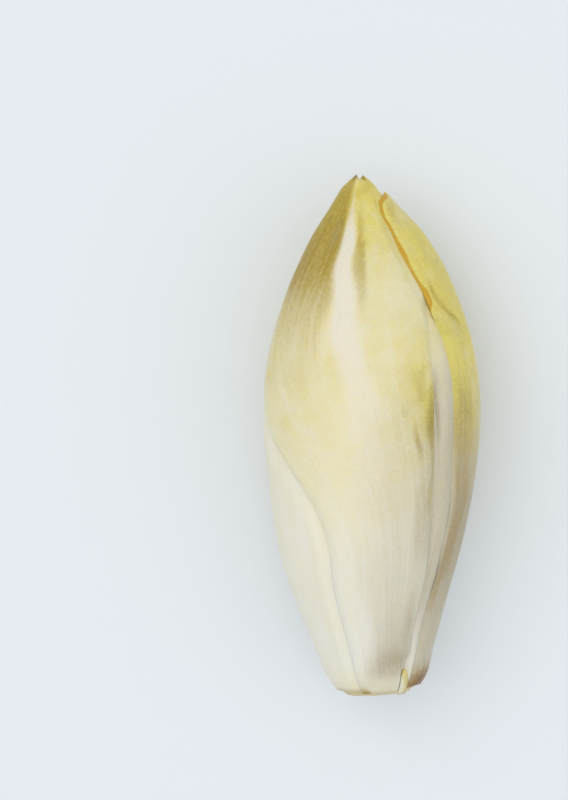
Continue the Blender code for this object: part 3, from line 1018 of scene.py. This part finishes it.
@dataclass(frozen=True)
class FrontLeaf(Leaf):
    """The broad leaf on top: white midrib, olive left flank, cream blade, split tip."""

    node: str = "leaf_front"
    sides: Stations = (
        (0, -27, 36), (8, -28, 35.3), (14, -28, 37.2), (20, -28, 38.2), (27, -29, 40.5), (32, -29, 41),
        (40, -28, 38.8), (52, -36, 37), (64, -55, 35), (76, -78, 34), (90, -97, 34.4), (99, -104, 35.6),
        (106, -108, 39), (113, -110, 50), (120, -112, 60), (132, -112, 75), (143, -110, 90),
    )
    foot: float = 0.7
    tip: float = 143.0
    drop: float = 7.0
    columns: int = 96
    rows: int = 220
    keel: Stations = ((0, 0), (0.6, 0.3), (0.85, 0.7), (1, 0.3))
    notch: float = 1.8
    relief: Relief = Relief(veins=26, dent=0.22)
    gold: Stations = (
        (0, 0.3), (5, 0.14), (25, 0.1), (45, 0.17), (60, 0.32), (85, 0.44), (100, 0.45), (114, 0.48),
        (124, 0.78), (143, 0.9),
    )
    seed: int = 31
    finish: LeafFinish = CREAM
    folds: tuple[Fold, ...] = (
        # ridge of the midrib, and the hollow right of it
        Fold((
            (85, -14, 9, 0), (100, -16, 9, 0.25), (118, -19, 8, 0.5), (130, -17, 6, 0.5),
            (141, -12, 4, 0.2),
        )),
        Fold(((98, -1, 7, 0), (115, -5, 6, -0.4), (127, -3, 5, -0.45), (138, 0, 5, -0.1))),
        # flattened left flank
        Fold(((95, -52, 14, 0), (112, -50, 16, -0.6), (130, -50, 16, -0.6), (140, -48, 14, 0))),
        # swelling of the blade
        Fold(((100, 16, 7, 0), (118, 16, 7, 0.25), (132, 14, 7, 0))),
        # closes on the stub
        Fold((
            (0, 28, 2.4, 0.72), (3, 27, 2.4, 0.72), (5, 26.4, 2.4, 0.7), (7, 26, 2.6, 0.5),
            (9.5, 25.5, 3, 0),
        )),
        # swelling and hollows lower down
        Fold(((8, 12, 9, 0), (25, 11, 10, 0.35), (50, 8, 11, 0.35), (80, 2, 10, 0))),
        Fold(((8, -8, 6, 0), (25, -8, 7, -0.25), (55, -10, 8, -0.2), (75, -12, 8, 0))),
        Fold(((40, 31, 5, 0), (58, 31, 6, -0.3), (75, 28, 6, -0.25), (90, 26, 5, 0))),
    )
    marks: tuple[Mark, ...] = (
        # olive flank, its own olive also standing for the shade of the flank turned away; its outer side
        # browner, as painted shade where it curves away at the edge
        Mark(Tint.OLIVE_AND_SHADE, (
            (58, -80, 30, 0), (80, -70, 34, 0.16), (95, -64, 34, 0.34), (106, -62, 35, 0.58),
            (115, -61, 37, 0.8), (122, -60, 38, 0.84), (130, -60, 38, 0.82), (143, -59, 39, 0.72),
        ), soft=0.2),
        Mark(Tint.PALE_AND_HIGHLIGHT, (
            (108, -52, 3, 0), (116, -50, 4, 0.15), (124, -47, 4, 0.1), (132, -44, 4, 0),
        ), soft=0.9),
        Mark(Tint.GOLD, ((124, -60, 20, 0), (132, -56, 24, 0.2), (141, -50, 24, 0.2))),
        Mark(Tint.STAIN_AND_SHADE, (
            (106, -84, 10, 0), (114, -74, 18, 0.55), (121, -66, 17, 0.5), (130, -60, 12, 0.2),
            (136, -60, 8, 0),
        ), soft=0.9),
        Mark(Tint.BRUISE, (
            (111, -84, 14, 0), (118, -78, 16, 0.2), (126, -74, 14, 0.14), (132, -70, 10, 0),
        ), soft=0.9),
        # a brown streak and grey painted shade beside the midrib, on the flank falling away from it
        Mark(Tint.STAIN_AND_SHADE, (
            (112, -39, 2.5, 0), (117, -38, 3, 0.25), (124, -36, 3, 0.15), (131, -34, 2.5, 0),
        ), soft=0.9),
        Mark(Tint.PAINTED_SHADE, (
            (119, -38, 5, 0), (124, -35, 7, 0.4), (128, -34, 7, 0.35), (132, -33, 5, 0),
        ), soft=0.9),
        # white midrib
        Mark(Tint.PALE_AND_HIGHLIGHT, (
            (0, 7, 4, 0), (20, 6, 6, 0.2), (50, 2, 8, 0.4), (80, -7, 9, 0.7), (100, -16, 9, 0.9),
            (112, -19, 8, 1), (117, -19, 7.2, 1), (122, -18.5, 6.4, 1), (130, -18, 5, 0.72),
            (137, -15, 3.6, 0.45), (142, -11, 2.5, 0),
        ), soft=0.6),
        # olive streak right of the midrib: painted shade in the hollow there, over the blade's own
        # yellow-olive
        Mark(Tint.OLIVE_AND_SHADE, (
            (102, -6.5, 3.5, 0), (110, -7.4, 4, 0.5), (118, -8, 4.6, 0.62), (124, -7.6, 4.8, 0.62),
            (128, -7, 4.8, 0.5), (131, -6, 4.8, 0.35), (134, -3, 5, 0.15), (138, 3, 8, 0),
        ), soft=0.4),
        # olive cast under the tip
        Mark(Tint.OLIVE_AND_SHADE, ((133, 12, 8, 0), (136, 12, 12, 0.25), (139, 14, 16, 0.3), (141, 16, 16, 0.1))),
        # light lines and dapples
        Mark(Tint.PALE_AND_HIGHLIGHT, ((128, 18, 2.5, 0), (130.5, 12, 3, 0.5), (132.5, 4, 3, 0.4), (134, -2, 3, 0))),
        Mark(Tint.PALE_AND_HIGHLIGHT, ((118, 22, 3, 0), (124, 22.5, 2.5, 0.45), (130, 21, 2, 0))),
        Mark(Tint.PALE_AND_HIGHLIGHT, ((110, 4, 5, 0), (120, 5, 6, 0.3), (130, 6, 5, 0))),
        Mark(Tint.OLIVE_AND_SHADE, ((120, 17, 3, 0), (127, 17, 3, 0.28), (133, 17, 3, 0)), soft=0.5),
        # olive and grey painted shadow along the right margin, in the crease where it lies over the strip,
        # and gold of the margin's own
        Mark(Tint.OLIVE_AND_SHADE, (
            (46, 35.5, 1.4, 0), (52, 35, 2, 0.4), (58, 34.6, 2, 0.3), (66, 33.2, 2.6, 0.42),
            (74, 32.6, 3.2, 0.6), (80, 32.4, 3, 0.5), (90, 32, 2, 0),
        ), soft=0.5),
        Mark(Tint.OLIVE_AND_SHADE, (
            (40, 31, 5, 0), (50, 31, 6, 0.16), (62, 30, 7, 0.2), (74, 29, 7, 0.2), (86, 29, 6, 0),
        )),
        Mark(Tint.PAINTED_SHADE, (
            (30, 34, 5, 0), (42, 33, 6, 0.2), (60, 32, 6, 0.16), (74, 31, 5, 0.05), (84, 31, 4, 0),
        )),
        Mark(Tint.GOLD, ((66, 32, 4, 0), (74, 32, 4, 0.35), (80, 32, 4, 0.3), (88, 32, 3, 0)), soft=0.9),
        # small olive and gold patches
        Mark(Tint.OLIVE_AND_SHADE, (
            (62, 25.5, 1, 0), (67.4, 24.5, 2, 0.5), (71, 21.9, 2.2, 0.5), (76, 21, 1.5, 0),
        ), soft=0.5),
        Mark(Tint.OLIVE_AND_SHADE, ((77, 24.5, 2, 0), (81, 24.9, 3, 0.4), (85, 23.9, 3.5, 0.35), (90, 23, 3, 0))),
        Mark(Tint.OLIVE_AND_SHADE, ((74, 16.3, 1.5, 0), (76.7, 16.3, 2, 0.4), (79.5, 16.3, 1.5, 0)), soft=0.5),
        Mark(Tint.GOLD, (
            (60, 24, 6, 0), (72, 24, 8, 0.16), (82, 24, 8, 0.28), (90, 24, 8, 0.22), (100, 22, 8, 0.08),
            (106, 22, 7, 0),
        )),
        # light line across
        Mark(Tint.PALE_AND_HIGHLIGHT, ((87, 13, 1.5, 0), (90, 16.5, 2, 0.35), (94, 20, 2, 0.4), (99, 27, 2, 0))),
        # grey-brown painted shade over the lower right, turned from the light
        Mark(Tint.PAINTED_SHADE, (
            (0.7, 6, 26, 0.3), (3.5, 8, 28, 0.42), (7, 13, 27, 0.72), (10, 17, 26, 0.8),
            (14, 20, 26, 0.68), (20, 21, 27, 0.58), (30, 20, 29, 0.5), (45, 20, 29, 0.44),
            (62, 21, 29, 0.44), (78, 24, 26, 0.38), (90, 28, 18, 0.15), (100, 32, 10, 0),
        ), soft=0.7),
        Mark(Tint.BRUISE, (
            (4, 14, 8, 0), (7.5, 15, 12, 0.12), (9.5, 22, 12, 0.12), (13, 26, 10, 0),
        ), soft=0.95),
        Mark(Tint.PAINTED_SHADE, ((12, 29, 3, 0), (17, 30, 4, 0.12), (26, 33, 4, 0.12), (34, 35, 3, 0)), soft=0.9),
        # brown spot at the cut
        Mark(Tint.OLIVE_AND_SHADE, ((0.7, -19, 7, 0.9), (2.2, -19, 6, 0.5), (4.5, -19, 4, 0)), soft=0.5),
        # browned split tip
        Mark(Tint.BRUISE, ((140.2, -22, 12, 0), (141.4, -24, 20, 0.6), (143, -26, 26, 0.9)), soft=0.5),
        Mark(Tint.OLIVE_AND_SHADE, ((140.2, 16, 12, 0), (141.2, 12, 14, 0.8), (143, 12, 16, 0.9)), soft=0.5),
    )


@dataclass(frozen=True)
class BackLeaf(Leaf):
    """The broad leaf that the head lies on."""

    node: str = "leaf_back"
    sides: Stations = (
        (0, 128, 236), (20, 130, 240), (45, 132, 243), (76, 132, 246), (100, 134, 243), (120, 134, 238),
        (138, 134, 236),
    )
    foot: float = 0.0
    tip: float = 138.0
    drop: float = 6.0
    gold: Stations = ((0, 0.25), (5, 0.1), (40, 0.12), (75, 0.35), (105, 0.6), (134, 0.8))
    seed: int = 41
    finish: LeafFinish = CREAM
    marks: tuple[Mark, ...] = (
        # white midrib
        Mark(Tint.PALE_AND_HIGHLIGHT, (
            (0, 183, 5, 0.2), (50, 187, 9, 0.6), (110, 188, 8, 0.7), (130, 187, 4, 0.2),
        ), soft=0.5),
    )


@dataclass(frozen=True)
class LeftLeaf(Leaf):
    """The pale leaf that shows at the lower left, under the front one."""

    node: str = "leaf_left"
    sides: Stations = (
        (0, -142, -8), (20, -142, -8), (40, -140, -6), (60, -140, -14), (80, -143, -38), (100, -145, -50),
        (135, -140, -50),
    )
    foot: float = 1.4
    tip: float = 135.0
    drop: float = 6.0
    columns: int = 64
    rows: int = 160
    gold: Stations = ((0, 0.3), (5, 0.16), (25, 0.12), (45, 0.14), (80, 0.2), (128, 0.3))
    seed: int = 51
    finish: LeafFinish = IVORY
    folds: tuple[Fold, ...] = (
        # swelling beside the front leaf's margin
        Fold((
            (0, -31, 6, 0.3), (10, -33, 8, 0.5), (30, -34, 9, 0.55), (40, -33, 9, 0.55),
            (52, -41, 9, 0.5), (64, -60, 9, 0.35), (76, -82, 9, 0),
        )),
    )


@dataclass(frozen=True)
class StripLeaf(Leaf):
    """The leaf of which a long pale strip shows between the front and the right one."""

    node: str = "leaf_strip"
    sides: Stations = (
        (0, 5, 95), (20, 8, 98), (40, 5, 105), (60, 0, 110), (80, -5, 110), (100, -10, 105),
        (135, -15, 105),
    )
    foot: float = 1.6
    tip: float = 135.0
    drop: float = 6.0
    columns: int = 64
    rows: int = 160
    gold: Stations = ((0, 0.2), (5, 0.1), (50, 0.14), (75, 0.2), (88, 0.3), (98, 0.5), (131, 0.6))
    seed: int = 61
    finish: LeafFinish = IVORY
    folds: tuple[Fold, ...] = (
        # swelling of the strip that shows
        Fold((
            (3, 41, 6, 0.3), (10, 41, 6, 0.4), (18, 43, 6, 0.45), (26, 46, 6.5, 0.5), (40, 46, 7.5, 0.6),
            (57, 43.5, 7.5, 0.65), (76, 41, 7, 0.65), (88, 40, 6.5, 0.6), (97, 38.5, 5.5, 0.5),
            (104, 37, 4, 0.3),
        )),
    )
    marks: tuple[Mark, ...] = (
        # grey painted shade of the strip sunk between two margins, deepest halfway up, and a painted
        # shadow along its left edge under the front leaf's margin
        Mark(Tint.PAINTED_SHADE, (
            (0, 44, 14, 0.2), (6, 44, 14, 0.25), (16, 45, 14, 0.5), (28, 47, 14, 0.7), (45, 46, 14, 0.65),
            (70, 43, 14, 0.68), (85, 41, 12, 0.54), (96, 39, 10, 0.3), (104, 38, 8, 0.2),
        ), soft=0.4),
        Mark(Tint.PAINTED_SHADE, (
            (66, 36.5, 1.2, 0), (74, 35.5, 1.4, 0.25), (82, 35, 1.4, 0.3), (92, 36, 1.2, 0),
        ), soft=0.9),
        # olive and brown foot
        Mark(Tint.OLIVE_AND_SHADE, ((1.6, 48, 22, 0.8), (3.6, 48, 16, 0.7), (5.5, 46, 9, 0)), soft=0.5),
        Mark(Tint.PALE_AND_HIGHLIGHT, ((2, 44, 9, 0.2), (10, 43, 9, 0.3), (20, 45, 8, 0.2), (30, 46, 8, 0)), soft=0.5),
        Mark(Tint.STAIN_AND_SHADE, (
            (1.6, 50, 20, 0.5), (5, 44, 10, 0.12), (12, 44, 8, 0.1), (20, 45, 8, 0),
        ), soft=0.5),
    )


@dataclass(frozen=True)
class InnerLeaf(Leaf):
    """A hidden leaf, fleshier than the outer ones, so that a few of them fill the head."""

    drop: float = 7.0
    columns: int = 48
    rows: int = 90
    blade: Stations = ((0, 0.8), (0.25, 3.1), (0.6, 2.8), (1, 0.8))
    rib: Stations = ((0, 0.1), (0.3, 0.9), (0.6, 0.6), (1, 0.1))
    gold: Stations = ((0, 0.05), (60, 0.15), (100, 0.5), (130, 0.8))
    ease: int = 10


@dataclass(frozen=True)
class Core:
    """A body on the head's axis, the stem or the heart bud, that fills the room inside the leaves."""

    node: str
    outline: Stations  # (mm along, greatest radius in mm)
    finish: StemFinish | HeartFinish
    sides: int = 96
    rows: int = 60
    ease: int = 6
    seam: float = 0.01 * MM

    def build(self, room: Room) -> bpy.types.Object:
        """Wraps a grid round the axis, as wide as the room and the outline allow.

        Args:
            room: The room inside the head, with every leaf laid.

        Returns:
            The body, without its material.
        """
        form = room.form
        shape = bmesh.new()
        shape.loops.layers.uv.new("UVMap")
        bmesh.ops.create_grid(
            shape, x_segments=self.sides, y_segments=self.rows, size=0.5, calc_uvs=True
        )
        spots = np.array([vert.co[:] for vert in shape.verts])
        angle = 360 * (spots[:, 0] + 0.5)
        start, end = self.outline[0][0], self.outline[-1][0]
        along = start + (end - start) * (spots[:, 1] + 0.5)
        wall = form.skin(angle, along, room.read(room.eased(self.ease) + room.gap, angle, along))
        axis = np.stack([curve(form.sway, along), wall[:, 1], np.zeros(len(along))], axis=-1)
        radius = np.hypot(wall[:, 0] - axis[:, 0], wall[:, 2])
        kept = np.minimum(1, curve(self.outline, along) / radius)[:, None]
        for vert, place in zip(shape.verts, (axis + (wall - axis) * kept - form.origin()) * MM):
            vert.co = place
        bmesh.ops.remove_doubles(shape, verts=shape.verts[:], dist=self.seam)
        ends = [edge for edge in shape.edges if edge.is_boundary]
        bmesh.ops.holes_fill(shape, edges=ends, sides=self.sides)
        return shown(finished(shape, self.node), self.node)


def finished(shape: bmesh.types.BMesh, node: str) -> bpy.types.Mesh:
    """Turns a shape's faces outwards and makes a mesh of it.

    An extrusion adds its faces in no fixed order, so they are sorted, and each run gives the same mesh.

    Args:
        shape: The bmesh, which is freed.
        node: The CAD node that the mesh is for.

    Returns:
        The mesh.
    """
    bmesh.ops.recalc_face_normals(shape, faces=shape.faces[:])
    shape.verts.index_update()
    count = len(shape.verts)

    def order(item: bmesh.types.BMEdge | bmesh.types.BMFace) -> float:
        """A number of its own for each edge or face, from its lowest and highest corner."""
        corners = [vert.index for vert in item.verts]
        return float(min(corners) * count + max(corners))

    shape.edges.sort(key=order)
    shape.faces.sort(key=order)
    mesh = bpy.data.meshes.new(f"{node}_fine")
    shape.to_mesh(mesh)
    shape.free()
    return mesh


def shown(mesh: bpy.types.Mesh, node: str) -> bpy.types.Object:
    """Makes a smooth-shaded object of a mesh, in the place of its CAD node.

    Args:
        mesh: The finished mesh, in metres, in the frame's place.
        node: The CAD node it replaces.

    Returns:
        The object, riding on the root body.
    """
    mesh.shade_smooth()
    mesh.set_sharp_from_angle(angle=CREASE)
    piece = placed(mesh.name, mesh)
    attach(piece, "root")
    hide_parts(node)
    log.info("%s: %d faces", piece.name, len(mesh.polygons))
    return piece


def placed(name: str, data: bpy.types.ID) -> bpy.types.Object:
    """Puts an object with a mesh, a light or a camera in it into the scene, and hands it back."""
    made = bpy.data.objects.new(name, data)
    bpy.context.scene.collection.objects.link(made)
    return made


@dataclass
class Head:
    """The whole head: its leaves from the outermost in, then its stem and its heart."""

    form: HeadForm = field(default_factory=HeadForm)
    inner_leaves: int = 5
    golden_angle: float = 137.5
    first_middle: float = 200.0  # degrees round the head
    first_foot: float = 12.0  # mm from the cut, as the tip
    foot_rise: float = 4.5  # mm from each inner leaf to the next, as the drop of the tips
    first_tip: float = 135.5
    tip_drop: float = 3.5
    flare: float = 25.0  # mm above its foot where a leaf has half its spread
    spans: tuple[float, float, float, float] = (70, 95, 118, 105)  # degrees on each side of its middle
    first_seed: int = 71
    stem: Core = Core(
        "stem", ((0, 10.4), (6, 10.2), (12, 9), (18, 8), (24, 6), (29, 1)), StemFinish()
    )
    heart: Core = Core(
        "heart_bud",
        (
            (32, 1), (40, 6.5), (60, 12), (90, 13), (112, 12), (122, 10), (130, 7.5), (135, 4.5), (138, 1),
        ),
        HeartFinish(),
    )

    def outer(self) -> list[Leaf]:
        """The leaves that show, the outermost first."""
        return [StubLeaf(), RightLeaf(), FrontLeaf(), BackLeaf(), LeftLeaf(), StripLeaf()]

    def inner(self) -> list[Leaf]:
        """The leaves inside, each a golden angle on from the last, higher on the stem and shorter."""
        made = []
        for number in range(self.inner_leaves):
            middle = self.first_middle + number * self.golden_angle
            foot = self.first_foot + self.foot_rise * number
            tip = self.first_tip - self.tip_drop * number
            places = (foot, foot + self.flare, (foot + tip) / 2, tip)
            sides = tuple((at, middle - span, middle + span) for at, span in zip(places, self.spans))
            made.append(InnerLeaf(
                f"leaf_inner_{number + 1}", sides, foot=foot, tip=tip, seed=self.first_seed + number
            ))
        return made

    def build(self) -> None:
        """Lays every leaf from the outside in, and then fills the room left on the axis."""
        room = Room(self.form)
        materials: dict[str, bpy.types.Material] = {}
        for part in (*self.outer(), *self.inner(), self.stem, self.heart):
            piece = part.build(room)
            if part.finish.name not in materials:
                materials[part.finish.name] = part.finish.build()
            piece.data.materials.append(materials[part.finish.name])


@dataclass(frozen=True)
class Lamp:
    """A square soft light: where it hangs and how wide it is, in metres, and its power in watts."""

    name: str
    place: tuple[float, float, float]
    size: float
    power: float

    def build(self) -> None:
        """Hangs the light, facing the head."""
        lamp = bpy.data.lights.new(self.name, "AREA")
        lamp.shape = "SQUARE"
        lamp.size = self.size
        lamp.energy = self.power
        made = placed(self.name, lamp)
        made.location = self.place
        made.rotation_euler = Vector(self.place).to_track_quat("Z", "Y").to_euler()


@dataclass(frozen=True)
class Studio:
    """A pale floor, soft lights and a camera that looks straight down on the head."""

    floor_colour: str = "#E9EDF1"
    floor_roughness: float = 0.9
    floor_size: float = 8.0
    floor_squares: int = 8
    world_colour: str = "#F4F7FA"
    world_strength: float = 0.72
    lamps: tuple[Lamp, ...] = (
        Lamp("key", (-0.60, 0.25, 1.65), 1.6, 10.0), Lamp("fill", (0.9, -0.2, 1.5), 1.8, 4.0),
    )
    camera_height: float = 0.926  # in metres, as the sizes below
    framed_height: float = 0.026  # the height at which the view is as long as the frame
    frame_length: float = 0.220
    frame_centre: tuple[float, float] = (-0.0239, 0.01007)
    turn: float = math.radians(-2.38)
    sensor: float = 36.0
    clip_start: float = 0.05

    def floor(self) -> None:
        """Lays the floor that the head rests on, of matt paper."""
        shape = bmesh.new()
        squares = self.floor_squares
        bmesh.ops.create_grid(shape, x_segments=squares, y_segments=squares, size=self.floor_size / 2)
        mesh = bpy.data.meshes.new("floor")
        shape.to_mesh(mesh)
        shape.free()
        floor = placed("floor", mesh)
        graph = Graph("Matt_paper_floor")
        graph.set(Base_Color=linear(self.floor_colour), Roughness=self.floor_roughness)
        floor.data.materials.append(graph.material)

    def world(self) -> None:
        """Lights the scene softly from all round."""
        world = bpy.data.worlds.new("studio")
        world.use_nodes = True
        sky = world.node_tree.nodes["Background"]
        sky.inputs["Color"].default_value = linear(self.world_colour)
        sky.inputs["Strength"].default_value = self.world_strength
        bpy.context.scene.world = world
        bpy.context.scene.view_settings.view_transform = "Standard"

    def camera(self) -> None:
        """Sets the camera over the head, square to the floor."""
        data = bpy.data.cameras.new("camera")
        data.sensor_width = self.sensor
        data.lens = self.sensor * (self.camera_height - self.framed_height) / self.frame_length
        data.clip_start = self.clip_start
        made = placed("camera", data)
        made.location = (*self.frame_centre, self.camera_height)
        made.rotation_euler = (0, 0, self.turn)
        bpy.context.scene.camera = made

    def build(self) -> None:
        """Sets up the floor, the lights, the world and the camera."""
        self.floor()
        for lamp in self.lamps:
            lamp.build()
        self.world()
        self.camera()


def main() -> None:
    """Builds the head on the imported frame, then the studio round it."""
    logging.basicConfig(level=logging.INFO)
    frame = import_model()
    log.info("the frame holds %d nodes", len(frame["nodes"]))
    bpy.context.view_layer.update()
    Head().build()
    Studio().build()


if __name__ == "__main__":
    main()
